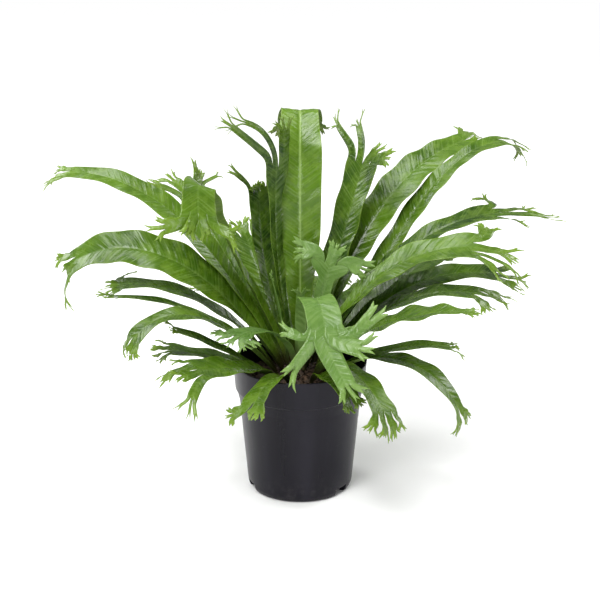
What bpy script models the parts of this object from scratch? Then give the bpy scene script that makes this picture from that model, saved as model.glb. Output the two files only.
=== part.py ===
"""Potted crested bird's-nest fern: a nursery pot, its soil, the crown and one solid for each frond.

Metres, +Z up. The pot stands on z = 0 on the axis x = y = 0 and the fronds radiate from the crown.
"""

import bmesh
import bpy
import numpy as np

for stale in list(bpy.data.objects):
    bpy.data.objects.remove(stale)

MM = 0.001

# ---- driving dimensions, millimetres -------------------------------------------------------------
POT_HEIGHT = 140.0
RIM_RADIUS = 70.0        # outside of the mouth
BAND_RADIUS = 68.0       # outside of the lower edge of the rim band
BAND_BOTTOM = 111.0      # height of that edge
STEP_RADIUS = 63.6       # outside of the wall just under the band
STEP_HEIGHT = 98.0
FOOT_RADIUS = 55.3       # outside of the wall near the ground
FOOT_CORNER = 5.5        # radius of the rounded corner at the ground
WALL = 1.6
FLOOR_TOP = 10.0
FLOOR_BOTTOM = 8.0       # the floor is raised above the foot ring
NOTCH_AZIMUTHS = (322.0, 202.0, 82.0)
NOTCH_WIDTH = 17.0
NOTCH_HEIGHT = 8.5
DRAIN_HOLES = 6
DRAIN_RADIUS = 4.0
DRAIN_CIRCLE = 36.0

SOIL_TOP = 120.0
SOIL_GAP = 0.4           # clear air between the soil and the plastic
SOCKET_RADIUS = 35.5     # recess in the soil that the crown sits in
SOCKET_BOTTOM = 96.0

CROWN_RADIUS = 34.5
CROWN_PEAK = 136.0
CROWN_SLOPE = 0.42       # fall of the crown's top per unit of radius
BASE_LIFT = 1.3          # clear air between the crown and the foot of a frond

LEAF_THICKNESS = 1.0
BLADE_ROWS = 8           # rows along a blade
LOBE_ROWS = 3            # rows along each lobe of the crest
REACH = 1.25             # a lobe may run this far past the nominal length

# ---- fronds --------------------------------------------------------------------------------------
# azimuth, rise and arch in degrees, length and width in mm, then the ring the frond springs from.
# The arch is complete at the fraction "settled" of the length and follows the power "onset" until then;
# "sweep" turns the heading in the same way with the power "swing".
# Lobes of the crest run from the right edge to the left edge, seen along the frond from its foot:
# (angle away from the midrib, length, width, curl).
# "hub" is the width of the blade's end where the lobes part, the sum of their widths if not given.
FRONDS = {
    "upright": dict(azimuth=90, rise=86, arch=140, onset=8, settled=0.88, length=334, width=45,
        ring=13,
        lobes=((-25, 20, 9, 0), (-10, 30, 14, 0), (10, 30, 14, 0), (28, 26, 8, 0))),
    "left_6": dict(azimuth=153, rise=79, arch=-27.2, onset=1.71, sweep=-38, swing=3, roll=-7.4,
        length=287, width=19, ring=7, foot=170,
        lobes=((12, 60, 12, 0), (16, 80, 7, 62), (50, 88, 9, 0))),
    "left_5": dict(azimuth=138, rise=67.4, arch=-28, onset=1.83, sweep=-35, roll=12, length=222,
        width=28.7, ring=13, hub=26,
        lobes=((-15, 12, 12, 0), (10, 12, 12, 0), (46, 46, 5, 0))),
    "right_1": dict(azimuth=44.1, rise=70.4, arch=5.6, onset=1.29, roll=-2.7, length=277.7,
        width=39.2, ring=13, hub=46,
        lobes=((-75, 30, 12, 0), (-50, 30, 10, 0), (26, 66, 9, 30), (58, 70, 10, 0))),
    "right_2": dict(azimuth=34.8, rise=70, arch=74.3, onset=1.72, roll=13.8, length=339.9, width=43.8,
        ring=19, foot=48,
        lobes=((-15, 22, 14, 0), (42, 36, 14, 0))),
    "right_3": dict(azimuth=25, rise=55.1, arch=97.5, onset=4.86, roll=9.5, length=354.9, width=27.2,
        ring=19, foot=24, taper=0.42,
        lobes=((-30, 30, 8, 0), (-10, 46, 9, 0), (2, 40, 8, 0))),
    "right_4": dict(azimuth=8.1, rise=64.8, arch=85.6, onset=1.59, roll=8.1, length=318.4, width=33.6,
        ring=19, foot=0,
        lobes=((-12, 38, 8, 0), (4, 74, 10, 0), (16, 54, 9, 0), (112, 36, 9, 10))),
    "right_5": dict(azimuth=347.8, rise=71.6, arch=98.4, onset=1.47, roll=21, length=285.1,
        width=39.5, ring=19, foot=335,
        lobes=((-24, 46, 6, 0), (-6, 64, 5, 0), (0, 46, 14, 0), (105, 46, 13, -20))),
    "right_8": dict(azimuth=322, rise=68.2, arch=58, onset=0.56, roll=8, length=225.1, width=56,
        ring=25, peak=0.45, taper=0.7,
        lobes=((-10, 20, 6, 0), (15, 16, 5, 0))),
    "right_9": dict(azimuth=4.5, rise=60, arch=88, onset=1.35, roll=15, length=254, width=32, ring=25,
        foot=12,
        lobes=((-20, 34, 8, 0), (3, 40, 8, 0), (40, 28, 10, 0))),
    "right_10": dict(azimuth=348.6, rise=59.5, arch=84.6, onset=1.42, roll=5.5, length=230,
        width=29.8, ring=25, foot=350,
        lobes=((-35, 28, 12, 0), (-8, 38, 10, 0), (15, 45, 7, 0))),
    "right_6": dict(azimuth=355.5, rise=34, arch=47.4, onset=1.21, roll=6.1, length=147.4, width=18.5,
        ring=31,
        lobes=((-15, 20, 4, 0), (15, 12, 7, 0), (50, 12, 5, 0))),
    "right_7": dict(azimuth=333.9, rise=44.6, arch=126.1, onset=1.25, roll=2.6, length=194.6,
        width=27.6, ring=31,
        lobes=((-10, 32, 7, 0), (20, 24, 9, 0))),
    "front_3": dict(azimuth=300.8, rise=54.6, arch=111.6, onset=0.92, roll=-17.4, length=169.5,
        width=33, ring=25, foot=306,
        lobes=((-40, 24, 8, 0), (-12, 30, 9, 0), (10, 30, 9, 0), (26, 24, 8, 0))),
    "front_5": dict(azimuth=298.7, rise=50.5, arch=98.9, onset=1.04, roll=-1.7, length=101,
        width=25.9, ring=31, foot=292,
        lobes=((-15, 18, 10, 0), (20, 14, 10, 0))),
    "front_2": dict(azimuth=281.4, rise=82.5, arch=142.9, onset=2.07, settled=0.72, length=240,
        width=34, ring=13, foot=288, hub=34,
        lobes=((-120, 42, 8, 0), (-42, 60, 14, 0), (22, 78, 24, 0), (66, 54, 18, 0), (100, 34, 9, 0),
               (128, 56, 13, 0))),
    "left_12": dict(azimuth=247.4, rise=52.5, arch=96, onset=0.77, roll=18.3, length=119.5,
        width=28.7, ring=31,
        lobes=((-62, 32, 13, 0), (5, 22, 15, 0))),
    "left_11": dict(azimuth=224.6, rise=43.5, arch=47.5, onset=0.67, roll=-8.8, length=165,
        width=41.1, ring=31,
        lobes=((-50, 20, 5, 0), (-16, 40, 13, 0), (0, 40, 11, 0), (30, 58, 12, 0))),
    "left_10": dict(azimuth=189.5, rise=40.9, arch=32.8, onset=0.37, roll=-3.3, length=128.1,
        width=27.2, ring=31, foot=188,
        lobes=((-50, 18, 6, 0), (-8, 22, 9, 0), (22, 22, 7, 0), (50, 18, 6, 0))),
    "left_8": dict(azimuth=203.6, rise=49.5, arch=137.8, onset=2.67, roll=-7.9, length=211.2,
        width=26.9, ring=25, foot=206,
        lobes=((-20, 24, 9, 0), (4, 22, 8, 0), (28, 20, 9, 0))),
    "left_13": dict(azimuth=188.5, rise=47.8, arch=56.2, onset=1.61, roll=-3.5, length=210.3,
        width=14.4, ring=25, foot=188,
        lobes=((-8, 28, 4, 0), (10, 20, 4, 0))),
    "left_7": dict(azimuth=183.7, rise=55.4, arch=76, onset=1.56, roll=-6.8, length=225, width=23.7,
        ring=25, foot=172,
        lobes=((-115, 40, 9, 0), (-12, 26, 8, 0), (10, 24, 8, 0))),
    "left_9": dict(azimuth=204.7, rise=38.7, arch=17.1, onset=1.76, roll=-19.8, length=137.2,
        width=14.5, ring=31,
        lobes=((-20, 18, 5, 0), (15, 14, 5, 0))),
    "left_2": dict(azimuth=178.5, rise=56.5, arch=131, onset=2.22, roll=-31.7, length=318.2,
        width=46.2, ring=19, foot=190,
        lobes=((-25, 22, 10, 0), (-5, 28, 11, 0), (28, 56, 9, 0))),
    "left_1": dict(azimuth=169, rise=61.5, arch=81.8, onset=2.32, roll=-19.5, length=345.6,
        width=32.6, ring=19, foot=164,
        lobes=((-20, 24, 6, 0), (-2, 32, 6, 0), (18, 34, 6, 0))),
    "left_3": dict(azimuth=145.2, rise=64.6, arch=122.6, onset=9.46, settled=0.83, sweep=127.9,
        swing=0.91, roll=-25, length=325, width=35, ring=13, foot=166, hub=36,
        lobes=((-75, 44, 12, 0), (-25, 26, 11, 0), (35, 26, 11, 0), (72, 42, 12, 0))),
    "left_4": dict(azimuth=148, rise=56, arch=5, length=255, width=32, ring=19, foot=140,
        lobes=((-85, 64, 5, 0), (-40, 40, 12, 0), (0, 48, 12, 0), (45, 50, 12, 0))),
    "front_1": dict(azimuth=350, rise=80, arch=8, onset=2, roll=90, length=147, width=16, ring=9,
        foot=330, narrow=0.3, hub=40,
        lobes=((-104, 36, 14, 0), (-6, 26, 12, 0), (104, 36, 14, 0))),
    "front_4": dict(azimuth=224, rise=90, arch=118, onset=0.9, length=128, width=20, ring=13,
        foot=236, narrow=0.3,
        lobes=((-85, 26, 6, 0), (-35, 20, 6, 0), (10, 20, 7, 0), (60, 22, 7, 0), (100, 22, 6, 0))),
    "young_1": dict(azimuth=190, rise=84, arch=10, length=105, width=9, ring=13, foot=202, narrow=0.5,
        lobes=((-40, 8, 4, 0), (40, 8, 4, 0))),
    "young_2": dict(azimuth=280, rise=84, arch=10, length=92, width=9, ring=7, foot=255, narrow=0.5,
        lobes=((-40, 8, 4, 0), (40, 8, 4, 0))),
    "middle_1": dict(azimuth=31, rise=43, arch=24, length=195, width=48, ring=25,
        lobes=((-30, 22, 14, 0), (0, 26, 14, 0), (30, 22, 14, 0))),
    "middle_2": dict(azimuth=120, rise=62, arch=25, length=168, width=42, ring=25, foot=127,
        lobes=((-30, 20, 12, 0), (0, 24, 12, 0), (30, 20, 12, 0))),
    "back_1": dict(azimuth=58, rise=42, arch=60, length=163, width=38, ring=31,
        lobes=((-30, 32, 12, 0), (0, 36, 12, 0), (30, 32, 12, 0))),
    "back_2": dict(azimuth=78, rise=54, arch=85, length=160, width=40, ring=25,
        lobes=((-30, 32, 12, 0), (0, 36, 12, 0), (30, 32, 12, 0))),
    "back_3": dict(azimuth=92, rise=36, arch=50, length=134, width=36, ring=31,
        lobes=((-30, 32, 12, 0), (0, 36, 12, 0), (30, 32, 12, 0))),
    "back_4": dict(azimuth=106, rise=54, arch=85, length=160, width=40, ring=25,
        lobes=((-30, 32, 12, 0), (0, 36, 12, 0), (30, 32, 12, 0))),
    "back_5": dict(azimuth=125, rise=40, arch=60, length=167, width=38, ring=31,
        lobes=((-30, 32, 12, 0), (0, 36, 12, 0), (30, 32, 12, 0))),
}


# ---- collections and materials -------------------------------------------------------------------
parts = bpy.data.collections.new("potted_fern")
cutters = bpy.data.collections.new("cutters")
bpy.context.scene.collection.children.link(parts)
bpy.context.scene.collection.children.link(cutters)


def material(name, colour, roughness):
    made = bpy.data.materials.new(name)
    made.use_nodes = True
    surface = made.node_tree.nodes["Principled BSDF"]
    surface.inputs["Base Color"].default_value = (*colour, 1.0)
    surface.inputs["Roughness"].default_value = roughness
    return made


def add(name, mesh, group=parts, colour=None, roughness=0.5):
    thing = bpy.data.objects.new(name, mesh)
    group.objects.link(thing)
    if group is cutters:
        thing.hide_render = True
        thing.display_type = "WIRE"
    else:
        mesh.materials.append(material("mat_" + name, colour, roughness))
    return thing


def turned(name, profile, colour, roughness, steps=72):
    """A solid of revolution: a closed profile of (radius, height) swept about the axis."""
    mesh = bpy.data.meshes.new(name)
    closed = profile[0][0] > 0.0
    points = [(r * MM, 0.0, z * MM) for r, z in profile]
    edges = [(i, i + 1) for i in range(len(points) - 1)]
    if closed:
        edges.append((len(points) - 1, 0))
    mesh.from_pydata(points, edges, [])
    thing = add(name, mesh, colour=colour, roughness=roughness)
    screw = thing.modifiers.new("turn", "SCREW")
    screw.axis = "Z"
    screw.steps = steps
    screw.render_steps = steps
    screw.use_merge_vertices = True
    screw.merge_threshold = 0.00005
    return thing


def cut(thing, tool):
    boolean = thing.modifiers.new("cut", "BOOLEAN")
    boolean.operation = "DIFFERENCE"
    boolean.solver = "EXACT"
    boolean.object = tool


# ---- pot -----------------------------------------------------------------------------------------
corner = np.radians([0.0, 30.0, 60.0, 90.0])
corner_r = FOOT_RADIUS - FOOT_CORNER + FOOT_CORNER * np.cos(corner)
corner_z = FOOT_CORNER - FOOT_CORNER * np.sin(corner)
outside = [(RIM_RADIUS - 0.8, POT_HEIGHT), (RIM_RADIUS, POT_HEIGHT - 0.8), (BAND_RADIUS, BAND_BOTTOM),
           (STEP_RADIUS, STEP_HEIGHT)]
outside += [(r, z) for r, z in zip(corner_r, corner_z)]
inside = [(FOOT_RADIUS - FOOT_CORNER - WALL, 0.0), (FOOT_RADIUS - FOOT_CORNER - WALL, FLOOR_BOTTOM),
          (0.0, FLOOR_BOTTOM), (0.0, FLOOR_TOP), (FOOT_RADIUS - WALL, FLOOR_TOP),
          (STEP_RADIUS - WALL, STEP_HEIGHT), (BAND_RADIUS - WALL, BAND_BOTTOM + 1.0),
          (RIM_RADIUS - WALL, POT_HEIGHT)]
floor_at = len(outside) + 3
loop = outside + inside
pot_profile = loop[floor_at:] + loop[:floor_at]
mesh = bpy.data.meshes.new("pot")
mesh.from_pydata([(r * MM, 0.0, z * MM) for r, z in pot_profile],
                 [(i, i + 1) for i in range(len(pot_profile) - 1)], [])
pot = add("pot", mesh, colour=(0.022, 0.021, 0.028), roughness=0.45)
screw = pot.modifiers.new("turn", "SCREW")
screw.axis = "Z"
screw.steps = 72
screw.render_steps = 72
screw.use_merge_vertices = True
screw.merge_threshold = 0.00005

for number, azimuth in enumerate(NOTCH_AZIMUTHS):
    mesh = bpy.data.meshes.new(f"notch_{number}")
    block = bmesh.new()
    bmesh.ops.create_cube(block, size=1.0)
    bmesh.ops.scale(block, vec=(0.020, NOTCH_WIDTH * MM, 2 * NOTCH_HEIGHT * MM), verts=block.verts)
    block.to_mesh(mesh)
    block.free()
    tool = add(f"notch_{number}", mesh, group=cutters)
    turn = np.radians(azimuth)
    tool.location = (0.054 * np.cos(turn), 0.054 * np.sin(turn), 0.0)
    tool.rotation_euler = (0.0, 0.0, turn)
    cut(pot, tool)

for number in range(DRAIN_HOLES):
    turn = 2 * np.pi * (number + 0.25) / DRAIN_HOLES
    mesh = bpy.data.meshes.new(f"drain_{number}")
    drill = bmesh.new()
    bmesh.ops.create_cone(drill, cap_ends=True, segments=16, radius1=DRAIN_RADIUS * MM,
                          radius2=DRAIN_RADIUS * MM, depth=0.006)
    drill.to_mesh(mesh)
    drill.free()
    tool = add(f"drain_{number}", mesh, group=cutters)
    middle = (FLOOR_TOP + FLOOR_BOTTOM) / 2 * MM
    tool.location = (DRAIN_CIRCLE * MM * np.cos(turn), DRAIN_CIRCLE * MM * np.sin(turn), middle)
    cut(pot, tool)

# ---- soil: fills the pot to just under the rim band, with a socket for the crown -------------------
side = WALL + SOIL_GAP
rise_at = (SOIL_TOP - 2.0 - BAND_BOTTOM - 1.0) / (POT_HEIGHT - BAND_BOTTOM - 1.0)
edge = BAND_RADIUS - side + (RIM_RADIUS - BAND_RADIUS) * rise_at
soil_profile = [(0.0, SOCKET_BOTTOM), (SOCKET_RADIUS, SOCKET_BOTTOM), (SOCKET_RADIUS, SOIL_TOP),
                (48.0, SOIL_TOP - 0.5), (edge - 0.2, SOIL_TOP - 2.0),
                (BAND_RADIUS - side - 0.2, BAND_BOTTOM + 1.0), (STEP_RADIUS - side - 0.2, STEP_HEIGHT),
                (FOOT_RADIUS - side - 0.2, FLOOR_TOP + SOIL_GAP), (0.0, FLOOR_TOP + SOIL_GAP)]
soil = turned("soil", soil_profile, (0.045, 0.028, 0.017), 0.95, steps=60)

# ---- crown: the short scaly stem that every frond springs from -----------------------------------
crown_edge = CROWN_PEAK - CROWN_SLOPE * CROWN_RADIUS
crown_profile = [(0.0, CROWN_PEAK - 1.0), (5.0, CROWN_PEAK - CROWN_SLOPE * 5.0 - 0.4),
                 (CROWN_RADIUS - 2.0, crown_edge), (CROWN_RADIUS, crown_edge - 3.0),
                 (CROWN_RADIUS, SOCKET_BOTTOM + 8.0), (20.0, SOCKET_BOTTOM + 0.6),
                 (0.0, SOCKET_BOTTOM + 0.6)]
crown = turned("crown", crown_profile, (0.06, 0.035, 0.018), 0.9, steps=48)


# ---- frond geometry ------------------------------------------------------------------------------
def ease(x):
    x = np.clip(x, 0.0, 1.0)
    return x * x * (3.0 - 2.0 * x)


def midrib(frond, samples=240):
    """Arc lengths along the midrib, its points, and the across and upward directions there."""
    length = frond["length"] * MM
    s = np.linspace(0.0, REACH * length, samples)
    part = s / length
    grown = np.clip(part / frond.get("settled", 1.0), 0.0, 1.0)
    onset = frond.get("onset", 1.5)
    slope = np.radians(frond["rise"] - frond["arch"] * grown ** onset)
    heading = np.radians(frond["azimuth"] + frond.get("sweep", 0.0) * grown ** frond.get("swing", onset))
    ahead = np.stack([np.cos(slope) * np.cos(heading), np.cos(slope) * np.sin(heading), np.sin(slope)], 1)
    foot = np.radians(frond.get("foot", frond["azimuth"]))
    ring = frond["ring"]
    start = np.array([ring * np.cos(foot), ring * np.sin(foot), CROWN_PEAK - CROWN_SLOPE * ring + BASE_LIFT])
    points = np.tile(start * MM, (samples, 1))
    points[1:] += np.cumsum((ahead[1:] + ahead[:-1]) / 2 * (s[1] - s[0]), 0)
    level = np.stack([-np.sin(heading), np.cos(heading), 0.0 * heading], 1)
    upward = np.cross(ahead, level)
    roll = np.radians(frond.get("roll", 0.0)) * ease(part / 0.5)
    cosine = np.cos(roll)[:, None]
    sine = np.sin(roll)[:, None]
    return s, points, cosine * level + sine * upward, cosine * upward - sine * level


def lift(frond, flat):
    """The flat pattern (distance along, distance across) laid onto the frond's curved midrib."""
    s, points, across, upward = midrib(frond)
    where = np.clip(flat[:, 0], 0.0, s[-1])
    side_way = flat[:, 1]
    at = [np.interp(where, s, points[:, k]) for k in range(3)]
    b = [np.interp(where, s, across[:, k]) for k in range(3)]
    n = [np.interp(where, s, upward[:, k]) for k in range(3)]
    part = where / (frond["length"] * MM)
    fold = 0.75 * (1.0 - ease(part / 0.45)) + 0.12
    rise = fold * np.abs(side_way) - 2.0 * side_way ** 2 * ease((part - 0.75) / 0.15)
    return np.stack([at[k] + b[k] * side_way + n[k] * rise for k in range(3)], 1)


def blade_rows(frond):
    """Rows of the blade in the flat pattern, split across where the lobes will part."""
    length = frond["length"] * MM
    lobes = frond["lobes"]
    end = length - 0.9 * MM * max(lobe[1] for lobe in lobes)
    s = np.linspace(0.0, end, BLADE_ROWS + 1)
    part = s / length
    peak = frond.get("peak", 0.55)
    narrow = frond.get("narrow", 0.16)
    width = frond["width"] * MM * (narrow + (1.0 - narrow) * ease(part / peak))
    width = width * (1.0 - frond.get("taper", 0.25) * ease((part - peak) / (1.0 - peak)))
    shares = np.array([lobe[2] for lobe in lobes], float)
    crest = MM * frond.get("hub", 1.05 * shares.sum())
    width = width + (crest - width[-1]) * ease((part - end / length + 0.12) / 0.12)
    split = np.concatenate([[0.0], np.cumsum(shares) / shares.sum()]) * 2.0 - 1.0
    return [np.stack([np.full(len(split), s[i]), width[i] / 2 * split], 1) for i in range(len(s))]


def lobe_rows(first, lobe):
    """Rows of one lobe, growing out of the piece of the crest between its two first points.

    A lobe turns to its angle within about 30 mm, so a long one runs straight after that.
    """
    angle, length, width, curl = lobe
    length = 0.95 * length * MM
    g = np.linspace(0.0, 1.0, LOBE_ROWS + 1)
    heading = np.radians(angle) * ease(g / min(0.7, 0.030 / length)) + np.radians(curl) * g * g
    ahead = np.stack([np.cos(heading), np.sin(heading)], 1)
    middle = np.tile((first[0] + first[1]) / 2, (LOBE_ROWS + 1, 1))
    middle[1:] += np.cumsum((ahead[1:] + ahead[:-1]) / 2 * length / LOBE_ROWS, 0)
    across = np.stack([-np.sin(heading), np.cos(heading)], 1)
    waist = 0.8 * width * MM
    tip = 0.7 * width * MM
    wide = waist + (tip - waist) * ease((g - 0.4) / 0.6)
    return [np.stack([middle[i] - across[i] * wide[i] / 2, middle[i] + across[i] * wide[i] / 2])
            for i in range(1, LOBE_ROWS + 1)]


def frond_solid(name, frond, colour):
    """One frond: a row of edges extruded along the blade, then each lobe extruded on its own."""
    form = bmesh.new()
    rows = blade_rows(frond)
    line = [form.verts.new(point) for point in lift(frond, rows[0])]
    edges = [form.edges.new((line[i], line[i + 1])) for i in range(len(line) - 1)]

    def grow(edges, line, row):
        made = bmesh.ops.extrude_edge_only(form, edges=edges)["geom"]
        old = [v.co.copy() for v in line]
        fresh = [v for v in made if isinstance(v, bmesh.types.BMVert)]
        ordered = [min(fresh, key=lambda v, c=c: (v.co - c).length) for c in old]
        for vertex, place in zip(ordered, lift(frond, row)):
            vertex.co = place
        joined = [form.edges.get((ordered[i], ordered[i + 1])) for i in range(len(ordered) - 1)]
        return joined, ordered

    for row in rows[1:]:
        edges, line = grow(edges, line, row)
    for i, lobe in enumerate(frond["lobes"]):
        tip_edges = [edges[i]]
        tip_line = [line[i], line[i + 1]]
        for row in lobe_rows(rows[-1][i:i + 2], lobe):
            tip_edges, tip_line = grow(tip_edges, tip_line, row)
    mesh = bpy.data.meshes.new(name)
    form.to_mesh(mesh)
    form.free()
    thing = add(name, mesh, colour=colour, roughness=0.42)
    thick = thing.modifiers.new("thickness", "SOLIDIFY")
    thick.thickness = LEAF_THICKNESS * MM
    thick.offset = 0.0
    return thing


for name, frond in FRONDS.items():
    frond_solid("frond_" + name, frond, (0.105, 0.24, 0.035))
print("fronds", len(FRONDS))
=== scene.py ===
# %% [markdown]
# # A crested bird's-nest fern in a nursery pot
#
# The plant is a rosette of long strap fronds that spring from one short scaly crown. Each blade ends in
# a crest: it forks, and forks again, into flat antlers with ragged little teeth. The pot is a plain
# black moulded one, 140 mm across and high, filled with peat.
#
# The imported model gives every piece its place, in metres. Here each of its solids gets a fine surface
# and a finish of its own.

import bpy
import numpy as np
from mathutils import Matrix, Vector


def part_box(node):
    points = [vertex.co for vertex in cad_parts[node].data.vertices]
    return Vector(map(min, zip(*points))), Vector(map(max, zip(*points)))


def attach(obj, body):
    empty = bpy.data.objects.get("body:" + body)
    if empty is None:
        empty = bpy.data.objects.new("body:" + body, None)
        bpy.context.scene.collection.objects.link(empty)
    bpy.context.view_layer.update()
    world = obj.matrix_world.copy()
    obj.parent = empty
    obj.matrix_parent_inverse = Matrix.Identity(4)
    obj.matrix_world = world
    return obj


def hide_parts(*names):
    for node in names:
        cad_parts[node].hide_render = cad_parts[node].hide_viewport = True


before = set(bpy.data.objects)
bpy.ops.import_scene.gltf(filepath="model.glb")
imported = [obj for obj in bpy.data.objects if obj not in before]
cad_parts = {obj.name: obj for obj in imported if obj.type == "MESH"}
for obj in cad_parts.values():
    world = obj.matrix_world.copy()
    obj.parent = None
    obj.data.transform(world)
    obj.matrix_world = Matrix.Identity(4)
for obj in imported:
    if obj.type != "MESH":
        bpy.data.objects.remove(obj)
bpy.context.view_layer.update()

low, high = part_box("pot")
POT_HEIGHT = high.z
RIM_RADIUS = high.x
MM = 0.001
print("pot", round(POT_HEIGHT / MM, 1), "mm high, mouth radius", round(RIM_RADIUS / MM, 1), "mm")
print("nodes", len(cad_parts))

# %% [markdown]
# ## Meshes from arrays
#
# Every surface below is a grid of points worked out with numpy. Two helpers put such a grid into a
# Blender mesh: one lists the four-sided faces between neighbouring rows and columns, the other makes the
# object, shades it smooth, stores any values that its material reads, and hangs it on the one body.

# %% Helpers for surfaces
def ease(x):
    """0 below 0, 1 above 1, and the smooth step 3x^2 - 2x^3 in between."""
    x = np.clip(x, 0.0, 1.0)
    return x * x * (3.0 - 2.0 * x)


def quads(index):
    """The four-sided faces between neighbouring rows and columns of an array of point numbers."""
    faces = np.stack([index[:-1, :-1], index[1:, :-1], index[1:, 1:], index[:-1, 1:]], -1)
    return faces.reshape(-1, 4)


def make_piece(name, points, faces, materials, node=None, values=None):
    """An object from points and faces that rides on the root body and stands for a node of the model."""
    mesh = bpy.data.meshes.new(name)
    mesh.from_pydata(points, [], faces)
    mesh.polygons.foreach_set("use_smooth", np.ones(len(mesh.polygons), bool))
    for key, value in (values or {}).items():
        layer = mesh.attributes.new(key, "FLOAT", "POINT")
        layer.data.foreach_set("value", np.asarray(value, np.float32))
    for finish in materials:
        mesh.materials.append(finish)
    piece = bpy.data.objects.new(name, mesh)
    bpy.context.scene.collection.objects.link(piece)
    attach(piece, "root")
    if node:
        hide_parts(node)
    return piece


# %% [markdown]
# ## Materials from nodes
#
# A finish is a small tree of nodes. The helpers keep each step to one line: `step` adds a node and links
# or sets its inputs, and `blend` mixes two colours. Plain numbers go straight onto the shader's own
# sockets.

# %% Helpers for materials
def new_finish(name, **constants):
    """A material with its Principled shader, whose constant inputs are set straight away."""
    finish = bpy.data.materials.new(name)
    finish.use_nodes = True
    shader = finish.node_tree.nodes["Principled BSDF"]
    for key, value in constants.items():
        shader.inputs[key.replace("_", " ")].default_value = value
    return finish, finish.node_tree, shader


def step(tree, kind, inputs=(), **settings):
    """Adds a node; each input is (socket, value), where a value may be another node's output."""
    made = tree.nodes.new("ShaderNode" + kind)
    for key, value in settings.items():
        setattr(made, key, value)
    for socket, value in inputs:
        if isinstance(value, bpy.types.NodeSocket):
            tree.links.new(value, made.inputs[socket])
        else:
            made.inputs[socket].default_value = value
    return made


def maths(tree, operation, *values):
    """One Math node of the given operation on up to three values."""
    return step(tree, "Math", list(enumerate(values)), operation=operation).outputs[0]


def spread(tree, value, low, high, to_low=0.0, to_high=1.0):
    """Maps low..high of a value smoothly onto to_low..to_high, and holds it outside that range."""
    made = step(tree, "MapRange", [("Value", value), ("From Min", low), ("From Max", high),
                ("To Min", to_low), ("To Max", to_high)], interpolation_type="SMOOTHSTEP")
    return made.outputs["Result"]


def blend(tree, share, first, second, how="MIX"):
    """Mixes two colours by a share; a colour is a node's output or three numbers."""
    made = tree.nodes.new("ShaderNodeMix")
    made.data_type = "RGBA"
    made.blend_type = how
    for socket, value in ((0, share), (6, first), (7, second)):
        if isinstance(value, bpy.types.NodeSocket):
            tree.links.new(value, made.inputs[socket])
        elif socket == 0:
            made.inputs[0].default_value = value
        else:
            made.inputs[socket].default_value = (*value, 1.0)
    return made.outputs[2]


def noise(tree, where, scale, detail=4.0, rough=0.55, stretch=None):
    """Fractal noise between about 0 and 1, at `scale` waves a metre, stretched per axis if asked."""
    if stretch:
        where = step(tree, "Mapping", [("Vector", where), ("Scale", stretch)]).outputs[0]
    made = step(tree, "TexNoise", [("Vector", where), ("Scale", scale), ("Detail", detail),
                ("Roughness", rough)])
    return made.outputs[0]


def bump(tree, height, distance, strength=1.0, under=None):
    """A bump of a height of 0..1 that stands `distance` metres proud, on top of another if given."""
    inputs = [("Height", height), ("Distance", distance), ("Strength", strength)]
    if under is not None:
        inputs.append(("Normal", under))
    return step(tree, "Bump", inputs).outputs[0]


# %% [markdown]
# ## The pot
#
# A nursery pot is injection moulded: a thin wall that tapers to the ground, a taller band at the rim that
# stacks on its neighbour, and a foot ring with three notches that let the water out. It could be a
# solid turned about its axis with blocks cut out of it. Turning it as one grid of profile by angle is
# simpler, because a notch is then only a change of height between two angles.

# %% Helpers for turned pieces
def soften(corners, radius, points=5):
    """A polyline whose corners are parabolas that start and end `radius` away from the corner."""
    corners = np.asarray(corners, float)
    before = corners[:-2] - corners[1:-1]
    after = corners[2:] - corners[1:-1]
    size_b = np.linalg.norm(before, axis=1, keepdims=True)
    size_a = np.linalg.norm(after, axis=1, keepdims=True)
    reach = np.minimum(radius, 0.45 * np.minimum(size_b, size_a))
    a = corners[1:-1] + before / size_b * reach
    b = corners[1:-1] + after / size_a * reach
    t = np.linspace(0.0, 1.0, points)[None, :, None]
    arc = a[:, None] * (1 - t) ** 2 + 2 * corners[1:-1, None] * t * (1 - t) + b[:, None] * t ** 2
    return np.concatenate([corners[:1], arc.reshape(-1, 2), corners[-1:]])


def filled(line, longest):
    """The same line with points added so that no stretch of it is longer than `longest`."""
    line = np.asarray(line, float)
    size = np.linalg.norm(np.diff(line, axis=0), axis=1)
    parts = np.maximum(1, np.ceil(size / longest).astype(int))
    start = np.repeat(np.arange(len(parts)), parts)
    within = np.arange(parts.sum()) - np.repeat(np.cumsum(parts) - parts, parts)
    share = (within / parts[start])[:, None]
    return np.concatenate([line[start] * (1 - share) + line[start + 1] * share, line[-1:]])


def turn(profile, angles):
    """A turned surface, profile by angle: (r cos a, r sin a, z), from millimetres to metres."""
    r, z = profile[:, :1], profile[:, 1:]
    return np.stack([r * np.cos(angles), r * np.sin(angles), z + 0 * angles], -1) * MM


def turned_mesh(points):
    """Points and faces of a turned surface, joined round its seam and closed at both poles."""
    rows, steps = points.shape[:2]
    index = np.arange(1, (rows - 2) * steps + 1).reshape(rows - 2, steps)
    ring = np.concatenate([index, index[:, :1]], 1)
    last = (rows - 2) * steps + 1
    start, end = ring[0], ring[-1]
    top = np.stack([np.zeros(steps, int), start[:-1], start[1:]], 1)
    foot = np.stack([end[:-1], np.full(steps, last), end[1:]], 1)
    flat = np.concatenate([points[0, :1], points[1:-1].reshape(-1, 3), points[-1, :1]])
    return flat, quads(ring).tolist() + top.tolist() + foot.tolist()


# %% The pot: its profile, from the middle of the floor over the rim to the middle of the underside
WALL = 1.6
FOOT_CORNER = 5.5
FOOT_RADIUS = 55.3
FOOT_INSIDE = FOOT_RADIUS - FOOT_CORNER - WALL
NOTCH_HEIGHT = 8.5
NOTCHES = ((322.0, 17.0), (202.0, 17.0), (82.0, 17.0))   # azimuth in degrees, width in mm

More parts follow.
